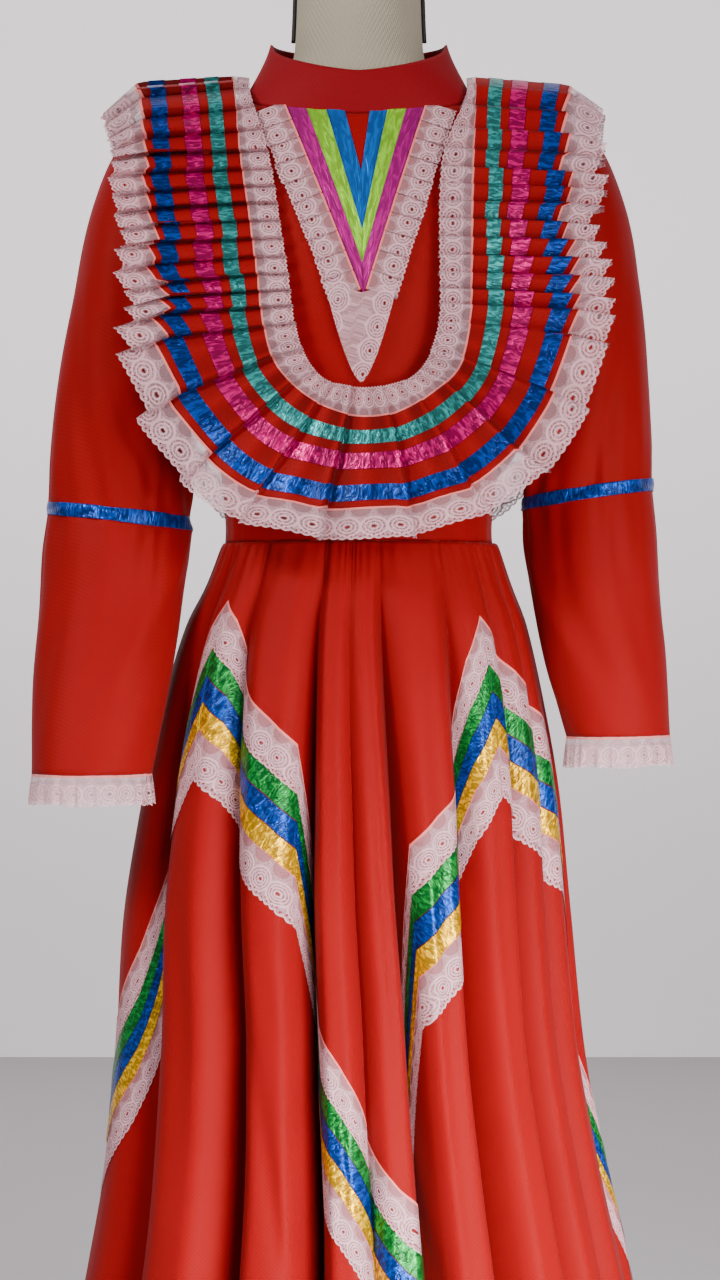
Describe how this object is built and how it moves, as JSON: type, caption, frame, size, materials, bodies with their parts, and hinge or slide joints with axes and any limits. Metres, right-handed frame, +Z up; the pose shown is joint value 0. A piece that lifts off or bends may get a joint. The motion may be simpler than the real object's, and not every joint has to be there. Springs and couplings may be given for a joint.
{
  "type": "jalisco folklorico dress on a dress form",
  "caption": "Red long-sleeved folk dance dress with a ribboned, knife-pleated bib, lace, and a zigzag ribbon band round a full skirt, on a linen dress form",
  "frame": {"origin": "middle of the base's underside, on the floor", "axes": "+Z up, the dress's front faces -Y, +X to the right in a view of the front"},
  "size_m": [0.6039, 0.5335, 1.54],
  "materials": {
    "red_cloth": "plain woven poplin with a slight sheen",
    "lace": "pinkish white scalloped lace",
    "teal_satin": "satin ribbon",
    "pink_satin": "satin ribbon",
    "royal_satin": "satin ribbon",
    "magenta_satin": "satin ribbon",
    "lime_satin": "satin ribbon",
    "green_satin": "satin ribbon",
    "yellow_satin": "satin ribbon",
    "linen": "plain woven linen over a firm form",
    "piping": "dark cord piping",
    "stand_metal": "smooth dark paint"
  },
  "bodies": {
    "root": {"form_torso": "linen", "form_piping_left": "piping", "form_piping_right": "piping", "form_base": "stand_metal", "form_pole": "stand_metal", "bodice_front": "red_cloth", "bodice_back": "red_cloth", "collar_band": "red_cloth", "sleeve_left": "red_cloth", "sleeve_right": "red_cloth", "sleeve_ribbon_left": "royal_satin", "sleeve_ribbon_right": "royal_satin", "cuff_lace_left": "lace", "cuff_lace_right": "lace", "skirt_front": "red_cloth", "skirt_back": "red_cloth", "zigzag_lace_top": "lace", "zigzag_ribbon_green": "green_satin", "zigzag_ribbon_blue": "royal_satin", "zigzag_ribbon_yellow": "yellow_satin", "zigzag_lace_bottom": "lace", "bib_flounce": "red_cloth", "bib_lace_inner": "lace", "bib_lace_outer": "lace", "bib_ribbon_teal": "teal_satin", "bib_ribbon_pink": "pink_satin", "bib_ribbon_blue": "royal_satin", "yoke_ribbon_magenta": "magenta_satin", "yoke_ribbon_lime": "lime_satin", "yoke_ribbon_blue": "royal_satin", "yoke_lace_left": "lace", "yoke_lace_right": "lace", "yoke_lace_tip": "lace"}
  },
  "joints": []
}
